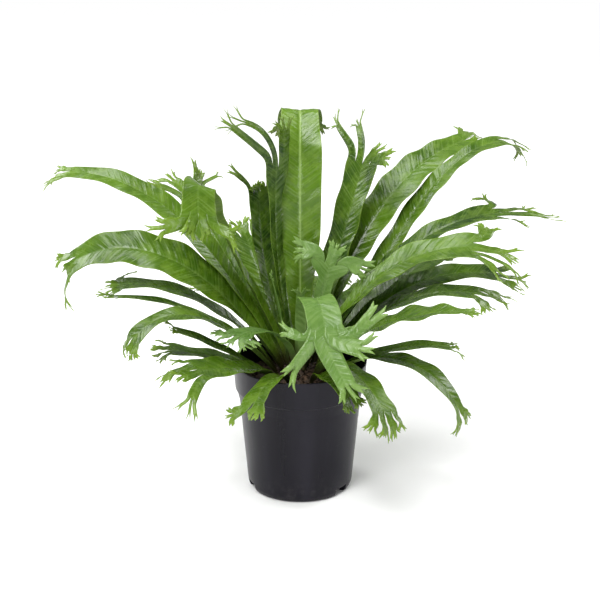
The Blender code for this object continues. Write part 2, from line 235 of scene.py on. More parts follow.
top_edge = POT_HEIGHT / MM
pot_line = [(0.0, 10.0), (FOOT_RADIUS - WALL, 10.0), (63.6 - WALL, 98.0), (68.0 - WALL, 112.0),
            (70.0 - WALL, top_edge), (70.0, top_edge), (68.0, 111.0), (66.6, 110.2), (63.6, 98.0),
            (FOOT_RADIUS, FOOT_CORNER), (FOOT_RADIUS - 1.5, 1.5), (FOOT_RADIUS - FOOT_CORNER, 0.0),
            (FOOT_INSIDE, 0.0), (FOOT_INSIDE, 8.0), (0.0, 8.0)]
pot_profile = filled(soften(pot_line, 0.9), 3.2)

angles = np.arange(288) / 288 * 2 * np.pi
in_notch = np.zeros(288, bool)
for azimuth, width in NOTCHES:      # two columns of the grid stand close together at each side
    half = np.arcsin(width / 2 / 54.0)
    for edge in np.radians(azimuth) + np.array([-half, half]):
        off = np.angle(np.exp(1j * (angles - edge)))
        nearest = np.argsort(np.abs(off))[:2]
        angles[nearest[np.argsort(off[nearest])]] = edge + np.array([-0.0007, 0.0007])
    in_notch |= np.abs(np.angle(np.exp(1j * (angles - np.radians(azimuth))))) < half
pot_grid = turn(pot_profile, angles)
foot = (pot_profile[:, 0] > FOOT_INSIDE - 0.5) & (pot_profile[:, 1] < NOTCH_HEIGHT)
foot &= np.arange(len(foot)) > np.argmax(pot_profile[:, 1])
raised = pot_grid[np.ix_(foot, in_notch)]
raised[..., 2] = np.maximum(raised[..., 2], NOTCH_HEIGHT * MM)
pot_grid[np.ix_(foot, in_notch)] = raised
print("pot", len(pot_profile), "by", len(angles), "points,", in_notch.sum(), "columns in notches")

# %% [markdown]
# The plastic is charcoal with a faint blue in it. A moulded pot is never one flat grey: the wall carries
# soft upright streaks where the hot plastic flowed, dust dulls the foot, and small scuffs from handling lie
# all over it.

# %% Pot plastic
plastic, tree, shader = new_finish("black_moulded_plastic", IOR=1.28)
place = step(tree, "TexCoord").outputs["Object"]
height = step(tree, "SeparateXYZ", [("Vector", place)]).outputs[2]
flow = noise(tree, place, 34.0, 3.0, 0.5, stretch=(1.0, 1.0, 0.07))
mottle = noise(tree, place, 160.0, 5.0, 0.6)
grain = noise(tree, place, 1500.0, 3.0, 0.5)
colour = blend(tree, spread(tree, flow, 0.32, 0.7), (0.0045, 0.0038, 0.0075), (0.0100, 0.0090, 0.0150))
dust = spread(tree, height, 0.034, 0.0, 0.0, 0.5)
dust = maths(tree, "MULTIPLY", dust, spread(tree, mottle, 0.4, 0.75))
colour = blend(tree, dust, colour, (0.035, 0.032, 0.034))
scuffs = step(tree, "TexVoronoi", [("Vector", place), ("Scale", 55.0)], feature="DISTANCE_TO_EDGE")
scuff = maths(tree, "MULTIPLY", spread(tree, scuffs.outputs[0], 0.035, 0.0), spread(tree, mottle, 0.5, 0.8))
colour = blend(tree, maths(tree, "MULTIPLY", scuff, 0.18), colour, (0.05, 0.05, 0.056))
tree.links.new(colour, shader.inputs["Base Color"])
gloss = maths(tree, "ADD", spread(tree, flow, 0.3, 0.7, 0.27, 0.35), maths(tree, "MULTIPLY", dust, 0.3))
tree.links.new(gloss, shader.inputs["Roughness"])
skin = bump(tree, grain, 0.00006, 0.5)
skin = bump(tree, flow, 0.0006, 0.6, skin)
tree.links.new(bump(tree, scuff, 0.00008, 0.5, skin), shader.inputs["Normal"])

# %% Make the pot and drill its floor
points, faces = turned_mesh(pot_grid)
pot = make_piece("nursery_pot", points, faces, [plastic], "pot")
turns = 2 * np.pi * (np.arange(6) + 0.25) / 6
for number, angle in enumerate(turns):
    bpy.ops.mesh.primitive_cylinder_add(vertices=32, radius=0.004, depth=0.008,
                                        location=(0.036 * np.cos(angle), 0.036 * np.sin(angle), 0.009))
    drill = bpy.context.object
    cut = pot.modifiers.new(f"drain_{number}", "BOOLEAN")
    cut.operation, cut.solver, cut.object = "DIFFERENCE", "EXACT", drill
graph = bpy.context.evaluated_depsgraph_get()
drilled = bpy.data.meshes.new_from_object(pot.evaluated_get(graph))
for cut in list(pot.modifiers):
    bpy.data.objects.remove(cut.object)
pot.modifiers.clear()
pot.data = drilled
pot.data.set_sharp_from_angle(angle=np.radians(38))
print("pot faces", len(pot.data.polygons))

# %% [markdown]
# ## The soil
#
# Peat is dark, matt and crumbly. The plug that fills the pot is another turned surface, whose top is
# pushed up and down by lumps, and a few hundred loose crumbs lie on it. A lump is value noise: random
# heights on a square lattice, joined smoothly.

# %% Soil plug
def lumps(x, y, size, seed):
    """Value noise: random numbers from -1 to 1 at the corners of squares of `size`, eased between."""
    table = np.random.default_rng(seed).uniform(-1.0, 1.0, (64, 64))
    i, j = np.floor(x / size).astype(int), np.floor(y / size).astype(int)
    u, v = ease(x / size - i), ease(y / size - j)
    a = table[i % 64, j % 64] * (1 - u) + table[(i + 1) % 64, j % 64] * u
    b = table[i % 64, (j + 1) % 64] * (1 - u) + table[(i + 1) % 64, (j + 1) % 64] * u
    return a * (1 - v) + b * v


def soil_relief(x, y):
    """How far the top of the soil stands above its mean, in metres: three sizes of lumps added up."""
    return 0.0011 * lumps(x, y, 0.017, 3) + 0.0008 * lumps(x, y, 0.006, 4) + 0.0005 * lumps(x, y, 0.0026, 5)


SOIL_TOP = 120.0
soil_line = [(0.0, 96.0), (35.5, 96.0), (35.5, SOIL_TOP), (50.0, SOIL_TOP - 0.4), (66.0, SOIL_TOP - 2.2),
             (65.8, 112.0), (61.4, 98.0), (53.1, 10.4), (0.0, 10.4)]
soil_profile = filled(soil_line, 1.6)
soil_grid = turn(soil_profile, np.arange(240) / 240 * 2 * np.pi)
on_top = (soil_profile[:, 1] > 117.0) & (soil_profile[:, 0] > 35.6) & (soil_profile[:, 0] < 65.9)
x, y = soil_grid[on_top, :, 0], soil_grid[on_top, :, 1]
soil_grid[on_top, :, 2] += soil_relief(x, y)
print("soil", len(soil_profile), "by 240 points")

# %% Peat
peat, tree, shader = new_finish("damp_peat")
place = step(tree, "TexCoord").outputs["Object"]
clods = noise(tree, place, 260.0, 6.0, 0.65)
fibres = noise(tree, place, 900.0, 4.0, 0.6, stretch=(1.0, 0.25, 1.0))
colour = blend(tree, spread(tree, clods, 0.3, 0.7), (0.011, 0.0065, 0.004), (0.062, 0.036, 0.019))
colour = blend(tree, spread(tree, fibres, 0.64, 0.78, 0.0, 0.8), colour, (0.17, 0.105, 0.052))
tree.links.new(colour, shader.inputs["Base Color"])
tree.links.new(spread(tree, clods, 0.25, 0.6, 0.72, 0.98), shader.inputs["Roughness"])
rough_top = bump(tree, clods, 0.0012, 0.9)
tree.links.new(bump(tree, fibres, 0.0004, 0.7, rough_top), shader.inputs["Normal"])
points, faces = turned_mesh(soil_grid)
soil = make_piece("peat_plug", points, faces, [peat], "soil")

# %% Loose crumbs on the soil
def crumbs(centres, sizes, rng):
    """Eight-cornered crumbs: a cube's corners pulled in and out at random, turned and scaled each alone."""
    cube = np.stack(np.meshgrid([-1, 1], [-1, 1], [-1, 1], indexing="ij"), -1).reshape(8, 3) * 0.58
    shape = cube + rng.uniform(-0.34, 0.34, (len(centres), 8, 3))
    spin = np.linalg.qr(rng.normal(size=(len(centres), 3, 3)))[0]
    spin *= np.sign(np.linalg.det(spin))[:, None, None]
    points = np.einsum("nij,nkj->nki", spin, shape) * sizes[:, None, None] + centres[:, None]
    sides = np.array([[0, 1, 3, 2], [4, 6, 7, 5], [0, 4, 5, 1], [2, 3, 7, 6], [0, 2, 6, 4], [1, 5, 7, 3]])
    triangles = np.concatenate([sides[:, [0, 1, 2]], sides[:, [0, 2, 3]]])
    faces = triangles[None] + 8 * np.arange(len(centres))[:, None, None]
    return points.reshape(-1, 3), faces.reshape(-1, 3)


rng = np.random.default_rng(11)
radius = np.sqrt(rng.uniform(0.0365 ** 2, 0.0635 ** 2, 620))
angle = rng.uniform(0, 2 * np.pi, 620)
size = 0.0005 + 0.0013 * rng.uniform(0, 1, 620) ** 2
x, y = radius * np.cos(angle), radius * np.sin(angle)
ground = SOIL_TOP - 0.4 - np.clip(radius / MM - 50.0, 0, None) * 0.1125
z = ground * MM + soil_relief(x, y) + 0.35 * size
points, faces = crumbs(np.stack([x, y, z], 1), size, rng)
loose = make_piece("peat_crumbs", points, faces, [peat])
print("crumbs", len(points) // 8)

# %% [markdown]
# ## The crown
#
# Every frond springs from the crown, a short upright stem hidden under brown papery scales and the stubs of
# old fronds. It is a low dome here, with a few hundred small pointed scales that lie on it like roof
# tiles. One scale is a strip of two by four cells, so that they all stay light.

# %% Crown and its scales
CROWN_RADIUS, CROWN_PEAK, CROWN_SLOPE = 34.5, 136.0, 0.42
crown_edge = CROWN_PEAK - CROWN_SLOPE * CROWN_RADIUS
crown_line = [(0.0, CROWN_PEAK - 1.0), (5.0, CROWN_PEAK - CROWN_SLOPE * 5.0 - 0.6),
              (CROWN_RADIUS - 2.0, crown_edge - 0.2), (CROWN_RADIUS - 0.3, crown_edge - 3.0),
              (CROWN_RADIUS - 0.3, 104.0), (20.0, 96.6), (0.0, 96.6)]
crown_profile = filled(soften(crown_line, 1.5), 1.5)
crown_grid = turn(crown_profile, np.arange(160) / 160 * 2 * np.pi)
x, y = crown_grid[..., 0], crown_grid[..., 1]
crown_grid[1:-1, :, 2] += ((0.0006 * lumps(x, y, 0.004, 8) - 0.0006) * (crown_grid[..., 2] > 0.105))[1:-1]


def scales(count, rng):
    """Scales on the dome: each leans out from its foot by a quadratic and narrows to a point."""
    r = 33.0 * MM * np.sqrt(rng.uniform(0.0, 1.0, count))[:, None, None]
    a = rng.uniform(0, 2 * np.pi, count)[:, None, None]
    length = rng.uniform(4.0, 8.5, count)[:, None, None] * MM
    width = length * rng.uniform(0.22, 0.36, count)[:, None, None]
    lean = rng.uniform(0.5, 1.3, count)[:, None, None]
    v = np.linspace(0.0, 1.0, 5)[None, :, None]
    u = np.linspace(-1.0, 1.0, 3)[None, None, :]
    out = length * v * lean * 0.8
    up = length * (0.55 * v - 0.35 * lean * v ** 2) + 0 * u
    half = width / 2 * (1 - v ** 2.2) * u
    reach = r + out - 0.12 * np.abs(half)
    x = reach * np.cos(a) - half * np.sin(a)
    y = reach * np.sin(a) + half * np.cos(a)
    z = (CROWN_PEAK - CROWN_SLOPE * r / MM - 0.9) * MM + up + 0 * x
    index = np.arange(count * 15).reshape(count, 5, 3)
    faces = np.stack([index[:, :-1, :-1], index[:, 1:, :-1], index[:, 1:, 1:], index[:, :-1, 1:]], -1)
    return np.stack([x, y, z], -1).reshape(-1, 3), faces.reshape(-1, 4)


bark, tree, shader = new_finish("brown_scales")
place = step(tree, "TexCoord").outputs["Object"]
shade = noise(tree, place, 210.0, 5.0, 0.6)
threads = noise(tree, place, 1200.0, 3.0, 0.5, stretch=(1.0, 1.0, 0.2))
colour = blend(tree, spread(tree, shade, 0.3, 0.72), (0.014, 0.008, 0.004), (0.075, 0.040, 0.018))
colour = blend(tree, spread(tree, threads, 0.55, 0.8, 0.0, 0.5), colour, (0.15, 0.095, 0.05))
tree.links.new(colour, shader.inputs["Base Color"])
tree.links.new(spread(tree, shade, 0.3, 0.7, 0.55, 0.85), shader.inputs["Roughness"])
tree.links.new(bump(tree, threads, 0.0003, 0.8), shader.inputs["Normal"])

points, faces = turned_mesh(crown_grid)
crown = make_piece("crown_stem", points, faces, [bark], "crown")
points, faces = scales(520, np.random.default_rng(21))
tiles = make_piece("crown_scales", points, faces, [bark])
wall = tiles.modifiers.new("thickness", "SOLIDIFY")
wall.thickness, wall.offset = 0.0002, 0.0
print("scales", len(faces) // 8)

# %% [markdown]
# ## How a frond stands
#
# A frond is described by a few numbers. Its midrib leaves the crown at `azimuth`, climbing at `rise`
# degrees, and loses `arch` degrees of that slope along its length, early or late as `onset` says. `sweep`
# turns it sideways and `roll` tips its face. Length and width are in millimetres. The crest is a list of
# lobes from the right edge to the left: angle away from the midrib, length, width and curl.

# %% The fronds
FRONDS = {
    "upright": dict(azimuth=90, rise=86, arch=140, onset=8, settled=0.88, length=334, width=45,
        ring=13,
        lobes=((-25, 20, 9, 0), (-10, 30, 14, 0), (10, 30, 14, 0), (28, 26, 8, 0))),
    "left_6": dict(azimuth=153, rise=79, arch=-27.2, onset=1.71, sweep=-38, swing=3, roll=-7.4,
        length=287, width=19, ring=7, foot=170,
        lobes=((12, 60, 12, 0), (16, 80, 7, 62), (50, 88, 9, 0))),
    "left_5": dict(azimuth=138, rise=67.4, arch=-28, onset=1.83, sweep=-35, roll=12, length=222,
        width=28.7, ring=13, hub=26,
        lobes=((-15, 12, 12, 0), (10, 12, 12, 0), (46, 46, 5, 0))),
    "right_1": dict(azimuth=44.1, rise=70.4, arch=5.6, onset=1.29, roll=-2.7, length=277.7,
        width=39.2, ring=13, hub=46,
        lobes=((-75, 30, 12, 0), (-50, 30, 10, 0), (26, 66, 9, 30), (58, 70, 10, 0))),
    "right_2": dict(azimuth=34.8, rise=70, arch=74.3, onset=1.72, roll=13.8, length=339.9, width=43.8,
        ring=19, foot=48,
        lobes=((-15, 22, 14, 0), (42, 36, 14, 0))),
    "right_3": dict(azimuth=25, rise=55.1, arch=97.5, onset=4.86, roll=9.5, length=354.9, width=27.2,
        ring=19, foot=24, taper=0.42,
        lobes=((-30, 30, 8, 0), (-10, 46, 9, 0), (2, 40, 8, 0))),
    "right_4": dict(azimuth=8.1, rise=64.8, arch=85.6, onset=1.59, roll=8.1, length=318.4, width=33.6,
        ring=19, foot=0,
        lobes=((-12, 38, 8, 0), (4, 74, 10, 0), (16, 54, 9, 0), (112, 36, 9, 10))),
    "right_5": dict(azimuth=347.8, rise=71.6, arch=98.4, onset=1.47, roll=21, length=285.1,
        width=39.5, ring=19, foot=335,
        lobes=((-24, 46, 6, 0), (-6, 64, 5, 0), (0, 46, 14, 0), (105, 46, 13, -20))),
    "right_8": dict(azimuth=322, rise=68.2, arch=58, onset=0.56, roll=8, length=225.1, width=56,
        ring=25, peak=0.45, taper=0.7,
        lobes=((-10, 20, 6, 0), (15, 16, 5, 0))),
    "right_9": dict(azimuth=4.5, rise=60, arch=88, onset=1.35, roll=15, length=254, width=32, ring=25,
        foot=12,
        lobes=((-20, 34, 8, 0), (3, 40, 8, 0), (40, 28, 10, 0))),
    "right_10": dict(azimuth=348.6, rise=59.5, arch=84.6, onset=1.42, roll=5.5, length=230,
        width=29.8, ring=25, foot=350,
        lobes=((-35, 28, 12, 0), (-8, 38, 10, 0), (15, 45, 7, 0))),
    "right_6": dict(azimuth=355.5, rise=34, arch=47.4, onset=1.21, roll=6.1, length=147.4, width=18.5,
        ring=31,
        lobes=((-15, 20, 4, 0), (15, 12, 7, 0), (50, 12, 5, 0))),
    "right_7": dict(azimuth=333.9, rise=44.6, arch=126.1, onset=1.25, roll=2.6, length=194.6,
        width=27.6, ring=31,
        lobes=((-10, 32, 7, 0), (20, 24, 9, 0))),
    "front_3": dict(azimuth=300.8, rise=54.6, arch=111.6, onset=0.92, roll=-17.4, length=169.5,
        width=33, ring=25, foot=306,
        lobes=((-40, 24, 8, 0), (-12, 30, 9, 0), (10, 30, 9, 0), (26, 24, 8, 0))),
    "front_5": dict(azimuth=298.7, rise=50.5, arch=98.9, onset=1.04, roll=-1.7, length=101,
        width=25.9, ring=31, foot=292,
        lobes=((-15, 18, 10, 0), (20, 14, 10, 0))),
    "front_2": dict(azimuth=281.4, rise=82.5, arch=142.9, onset=2.07, settled=0.72, length=240,
        width=34, ring=13, foot=288, hub=34,
        lobes=((-120, 42, 8, 0), (-42, 60, 14, 0), (22, 78, 24, 0), (66, 54, 18, 0), (100, 34, 9, 0),
               (128, 56, 13, 0))),
    "left_12": dict(azimuth=247.4, rise=52.5, arch=96, onset=0.77, roll=18.3, length=119.5,
        width=28.7, ring=31,
        lobes=((-62, 32, 13, 0), (5, 22, 15, 0))),
    "left_11": dict(azimuth=224.6, rise=43.5, arch=47.5, onset=0.67, roll=-8.8, length=165,
        width=41.1, ring=31,
        lobes=((-50, 20, 5, 0), (-16, 40, 13, 0), (0, 40, 11, 0), (30, 58, 12, 0))),
    "left_10": dict(azimuth=189.5, rise=40.9, arch=32.8, onset=0.37, roll=-3.3, length=128.1,
        width=27.2, ring=31, foot=188,
        lobes=((-50, 18, 6, 0), (-8, 22, 9, 0), (22, 22, 7, 0), (50, 18, 6, 0))),
    "left_8": dict(azimuth=203.6, rise=49.5, arch=137.8, onset=2.67, roll=-7.9, length=211.2,
        width=26.9, ring=25, foot=206,
        lobes=((-20, 24, 9, 0), (4, 22, 8, 0), (28, 20, 9, 0))),
    "left_13": dict(azimuth=188.5, rise=47.8, arch=56.2, onset=1.61, roll=-3.5, length=210.3,
        width=14.4, ring=25, foot=188,
        lobes=((-8, 28, 4, 0), (10, 20, 4, 0))),
    "left_7": dict(azimuth=183.7, rise=55.4, arch=76, onset=1.56, roll=-6.8, length=225, width=23.7,
        ring=25, foot=172,
        lobes=((-115, 40, 9, 0), (-12, 26, 8, 0), (10, 24, 8, 0))),
    "left_9": dict(azimuth=204.7, rise=38.7, arch=17.1, onset=1.76, roll=-19.8, length=137.2,
        width=14.5, ring=31,
        lobes=((-20, 18, 5, 0), (15, 14, 5, 0))),
    "left_2": dict(azimuth=178.5, rise=56.5, arch=131, onset=2.22, roll=-31.7, length=318.2,
        width=46.2, ring=19, foot=190,
        lobes=((-25, 22, 10, 0), (-5, 28, 11, 0), (28, 56, 9, 0))),
    "left_1": dict(azimuth=169, rise=61.5, arch=81.8, onset=2.32, roll=-19.5, length=345.6,
        width=32.6, ring=19, foot=164,
        lobes=((-20, 24, 6, 0), (-2, 32, 6, 0), (18, 34, 6, 0))),
    "left_3": dict(azimuth=145.2, rise=64.6, arch=122.6, onset=9.46, settled=0.83, sweep=127.9,
        swing=0.91, roll=-25, length=325, width=35, ring=13, foot=166, hub=36,
        lobes=((-75, 44, 12, 0), (-25, 26, 11, 0), (35, 26, 11, 0), (72, 42, 12, 0))),
    "left_4": dict(azimuth=148, rise=56, arch=5, length=255, width=32, ring=19, foot=140,
        lobes=((-85, 64, 5, 0), (-40, 40, 12, 0), (0, 48, 12, 0), (45, 50, 12, 0))),
    "front_1": dict(azimuth=350, rise=80, arch=8, onset=2, roll=90, length=147, width=16, ring=9,
        foot=330, narrow=0.3, hub=40,
        lobes=((-104, 36, 14, 0), (-6, 26, 12, 0), (104, 36, 14, 0))),
    "front_4": dict(azimuth=224, rise=90, arch=118, onset=0.9, length=128, width=20, ring=13,
        foot=236, narrow=0.3,
        lobes=((-85, 26, 6, 0), (-35, 20, 6, 0), (10, 20, 7, 0), (60, 22, 7, 0), (100, 22, 6, 0))),
    "young_1": dict(azimuth=190, rise=84, arch=10, length=105, width=9, ring=13, foot=202, narrow=0.5,
        lobes=((-40, 8, 4, 0), (40, 8, 4, 0))),
    "young_2": dict(azimuth=280, rise=84, arch=10, length=92, width=9, ring=7, foot=255, narrow=0.5,
        lobes=((-40, 8, 4, 0), (40, 8, 4, 0))),
    "middle_1": dict(azimuth=31, rise=43, arch=24, length=195, width=48, ring=25,
        lobes=((-30, 22, 14, 0), (0, 26, 14, 0), (30, 22, 14, 0))),
    "middle_2": dict(azimuth=120, rise=62, arch=25, length=168, width=42, ring=25, foot=127,
        lobes=((-30, 20, 12, 0), (0, 24, 12, 0), (30, 20, 12, 0))),
    "back_1": dict(azimuth=58, rise=42, arch=60, length=163, width=38, ring=31,
        lobes=((-30, 32, 12, 0), (0, 36, 12, 0), (30, 32, 12, 0))),
    "back_2": dict(azimuth=78, rise=54, arch=85, length=160, width=40, ring=25,
        lobes=((-30, 32, 12, 0), (0, 36, 12, 0), (30, 32, 12, 0))),
    "back_3": dict(azimuth=92, rise=36, arch=50, length=134, width=36, ring=31,
        lobes=((-30, 32, 12, 0), (0, 36, 12, 0), (30, 32, 12, 0))),
    "back_4": dict(azimuth=106, rise=54, arch=85, length=160, width=40, ring=25,
        lobes=((-30, 32, 12, 0), (0, 36, 12, 0), (30, 32, 12, 0))),
    "back_5": dict(azimuth=125, rise=40, arch=60, length=167, width=38, ring=31,
        lobes=((-30, 32, 12, 0), (0, 36, 12, 0), (30, 32, 12, 0))),
}
BASE_LIFT = 1.3
REACH = 1.25
print("fronds", len(FRONDS))


# %% Where the midrib runs
def midrib(frond, samples=1400):
    """Distances along the midrib, its points, and the across and upward directions there.

    The slope is rise - arch * p^onset and the heading azimuth + sweep * p^swing, where p is the share of
    the length that is complete at `settled`. Adding up those directions gives the points.
    """
    length = frond["length"] * MM
    s = np.linspace(0.0, REACH * length, samples)
    part = s / length
    grown = np.clip(part / frond.get("settled", 1.0), 0.0, 1.0)
    onset = frond.get("onset", 1.5)
    slope = np.radians(frond["rise"] - frond["arch"] * grown ** onset)
    heading = np.radians(frond["azimuth"] + frond.get("sweep", 0.0) * grown ** frond.get("swing", onset))
    ahead = np.stack([np.cos(slope) * np.cos(heading), np.cos(slope) * np.sin(heading), np.sin(slope)], 1)
    foot = np.radians(frond.get("foot", frond["azimuth"]))
    ring = frond["ring"]
    height = CROWN_PEAK - CROWN_SLOPE * ring + BASE_LIFT
    start = np.array([ring * np.cos(foot), ring * np.sin(foot), height])
    points = np.tile(start * MM, (samples, 1))
    points[1:] += np.cumsum((ahead[1:] + ahead[:-1]) / 2 * (s[1] - s[0]), 0)
    level = np.stack([-np.sin(heading), np.cos(heading), 0.0 * heading], 1)
    upward = np.cross(ahead, level)
    roll = np.radians(frond.get("roll", 0.0)) * ease(part / 0.5)
    cosine, sine = np.cos(roll)[:, None], np.sin(roll)[:, None]
    return s, points, cosine * level + sine * upward, cosine * upward - sine * level


def onto_midrib(frond, spot):
    """Lays the flat pattern (along, across, proud) onto the curved midrib.

    The blade is a gutter at its foot and nearly flat further out, and the edges of the crest droop with
    the square of their distance from the midrib.
    """
    s, points, across, upward = midrib(frond)
    where, side, proud = np.clip(spot[:, 0], 0.0, s[-1]), spot[:, 1], spot[:, 2]
    at = np.stack([np.interp(where, s, points[:, k]) for k in range(3)], 1)
    b = np.stack([np.interp(where, s, across[:, k]) for k in range(3)], 1)
    n = np.stack([np.interp(where, s, upward[:, k]) for k in range(3)], 1)
    part = where / (frond["length"] * MM)
    fold = 0.75 * (1.0 - ease(part / 0.45)) + 0.12
    rise = fold * (np.sqrt(side ** 2 + MM ** 2) - MM) - 2.0 * side ** 2 * ease((part - 0.75) / 0.15)
    return at + b * side[:, None] + n * (rise + proud)[:, None]


# %% [markdown]
# ## The sheet of a frond
#
# The leaf is first drawn flat and then laid on its midrib. The blade is a grid: rows along it and columns
# across it, crowded at the midrib and at the margins, where the form changes fastest. Its relief is a
# ripple that grows towards the margin, fine slanted folds between the side veins, and a groove along
# the midrib. Each lobe of the crest is a tongue, a grid that grows out of a stretch of the last row, so the
# sheet has no seams.

# %% A sheet to grow a leaf on
def new_sheet():
    """An empty sheet. Every point has a flat place and what the finish needs to know about it."""
    return {key: [] for key in ("spot", "grown", "off", "margin", "age", "faces")} | {"count": 0}


def add_points(sheet, **values):
    """Adds rows of points to the sheet and returns their numbers in the same shape."""
    shape = values["spot"].shape[:2]
    ids = sheet["count"] + np.arange(shape[0] * shape[1]).reshape(shape)
    sheet["count"] += ids.size
    for key, value in values.items():
        sheet[key].append(value.reshape(ids.size, -1))
    return ids


def tongue(sheet, root, heading, turn_by, curl, length, waist, tip, rows, pitch, bend, roll, wave=0.0):
    """A tongue of leaf grown out of a row of points of the sheet.

    With g from 0 to 1 along it, the heading is heading + turn_by * ease(g / bend_part) + curl * g^2, where
    bend_part is 0.7 or, on a long tongue, the first 25 mm of it, and the pitch
    out of the sheet pitch + bend * g, and its middle line adds those directions up. The width goes from
    the root's own to `waist` in the first third, and on to `tip`.
    """
    ids, spot, grown, off, age = root
    across = np.linspace(-1.0, 1.0, len(ids))
    g = np.linspace(0.0, 1.0, rows + 1)
    turned = heading + turn_by * ease(g / min(0.7, 0.025 / length)) + curl * g * g
    leaning = pitch + bend * g
    flat = np.cos(leaning)
    ahead = np.stack([np.cos(turned) * flat, np.sin(turned) * flat, np.sin(leaning)], 1)
    middle = np.tile((spot[0] + spot[-1]) / 2, (rows + 1, 1))
    middle[1:] += np.cumsum((ahead[1:] + ahead[:-1]) / 2 * length / rows, 0)
    wide = np.linalg.norm((spot[-1] - spot[0])[:2])
    width = waist + (wide - waist) * np.clip(1.0 - g / 0.35, 0.0, 1.0) ** 2
    width = (width + (tip - waist) * ease((g - 0.3) / 0.7))[:, None] / 2
    tilt = (roll * ease(g))[:, None]
    leftward = np.stack([-np.sin(turned), np.cos(turned)], 1)[:, None]
    side = leftward * (width * np.cos(tilt) * across)[..., None]
    relief = (spot[:, 2] - np.linspace(spot[0, 2], spot[-1, 2], len(ids))) * (1.0 - ease(g / 0.5))[:, None]
    waves = wave * np.sin(9.0 * g)[:, None] * across ** 2 * ease(g)[:, None]
    relief = relief + width * np.sin(tilt) * across + waves
    place = np.concatenate([middle[:, None, :2] + side, middle[:, None, 2:] + relief[..., None]], 2)
    local = width * across
    near = ease(g / 0.35)[:, None]
    far = grown + g[:, None] * length
    values = dict(spot=place[1:], grown=far[1:], off=(off * (1 - near) + local * near)[1:],
                  margin=np.broadcast_to(np.abs(across), local.shape)[1:],
                  age=(age + (1.0 - age) * 0.5 * g[:, None] + 0 * local)[1:])
    fresh = add_points(sheet, **values)
    sheet["faces"].append(quads(np.concatenate([ids[None], fresh])))
    last = (fresh[-1], place[-1], values["grown"][-1], values["off"][-1], values["age"][-1])
    return last, turned[-1], leaning[-1]


def piece_of(root, first, last):
    """The stretch of a row between two of its columns."""
    return tuple(part[first:last + 1] for part in root)


def cuts(count, parts):
    """Splits `count` columns into whole numbers in the given proportions; returns pairs of ends."""
    ends = np.round(np.cumsum(parts) / np.sum(parts) * count).astype(int)
    return list(zip([0, *ends[:-1].tolist()], ends.tolist()))


# %% Blade and crest
RIPPLE_HEIGHT = 0.0017    # metres, at the margin of a blade 44 mm wide
PLEAT_SPACING = 0.0100    # metres from one vein to the next along the midrib
VEIN_SLANT = 0.75         # metres a vein runs back along the blade for each metre it runs across
BASE_FULLNESS = 0.75      # below 1 the blade widens sooner above its foot


def blade(sheet, frond, rng):
    """The strap: width by length from the frond's numbers, ripples, folds and midrib as relief."""
    length = frond["length"] * MM
    shares = np.array([lobe[2] for lobe in frond["lobes"]], float)
    columns = 2 * np.maximum(2, np.round(13 * shares / shares.sum()).astype(int))
    end = length - 0.9 * MM * max(lobe[1] for lobe in frond["lobes"])
    s = np.linspace(0.0, end, max(16, int(end / (1.9 * MM))))[:, None]
    part = s / length
    peak, narrow = frond.get("peak", 0.55), frond.get("narrow", 0.16)
    full = frond["width"] * MM
    width = full * (narrow + (1.0 - narrow) * ease(part / peak) ** BASE_FULLNESS)
    width = width * (1.0 - frond.get("taper", 0.25) * ease((part - peak) / (1.0 - peak)))
    crest = MM * frond.get("hub", 1.05 * shares.sum())
    width = width + (crest - width[-1]) * ease((part - end / length + 0.12) / 0.12)
    u = np.linspace(-1.0, 1.0, columns.sum() + 1)
    strap = u - 0.12 * np.sin(2 * np.pi * u)
    ends = np.concatenate([[0.0], np.cumsum(shares) / shares.sum()]) * 2.0 - 1.0
    forked = np.interp(np.arange(len(u)), np.concatenate([[0], np.cumsum(columns)]), ends)
    into = ease((part - end / length + 0.16) / 0.16)
    q = strap * (1.0 - into) + forked * into
    wobble = 1.0 + 0.035 * np.sin(s / 0.0145 + rng.uniform(0, 6, 2)[(q > 0).astype(int)]) * ease(part / 0.3)
    side = width / 2 * q * (wobble * (1 - into) + into)
    size = full / 0.044
    length_of_ripple = rng.uniform(0.034, 0.058, 2)[(q > 0).astype(int)]
    started = rng.uniform(0, 6, 2)[(q > 0).astype(int)]
    ripple = np.sin(2 * np.pi * s / length_of_ripple + started + 0.8 * np.sin(s / 0.05))
    ripple = RIPPLE_HEIGHT * size * ripple * np.abs(q) ** 2.4 * ease((part - 0.12) / 0.3)
    fold_at = s - VEIN_SLANT * np.abs(side) + 0.003 * np.sin(s / 0.03 + rng.uniform(0, 6))
    depth = 0.00034 + 0.00028 * np.sin(s / 0.013 + rng.uniform(0, 6))
    pleat = depth * np.sin(2 * np.pi * fold_at / PLEAT_SPACING)
    pleat = pleat * ease(np.abs(q) / 0.25) * ease((1 - np.abs(q)) / 0.3)
    pleat = pleat * ease((part - 0.1) / 0.3) * min(1.0, size)
    rib = -0.0006 * np.exp(-(side / 0.0013) ** 2) * (1 - into)
    spot = np.stack([s + 0 * q, side, ripple * (1 - 0.6 * into) + (pleat + rib) * (1 - into)], -1)
    margin = np.abs(q)
    ids = add_points(sheet, spot=spot, grown=s + 0 * q, off=side, margin=margin,
                     age=0.35 * ease((part - 0.5) / 0.5) + 0 * q)
    sheet["faces"].append(quads(ids))
    age = np.full(len(u), 0.35 * ease((part[-1, 0] - 0.5) / 0.5))
    return (ids[-1], spot[-1], np.full(len(u), s[-1, 0]), side[-1], age), columns


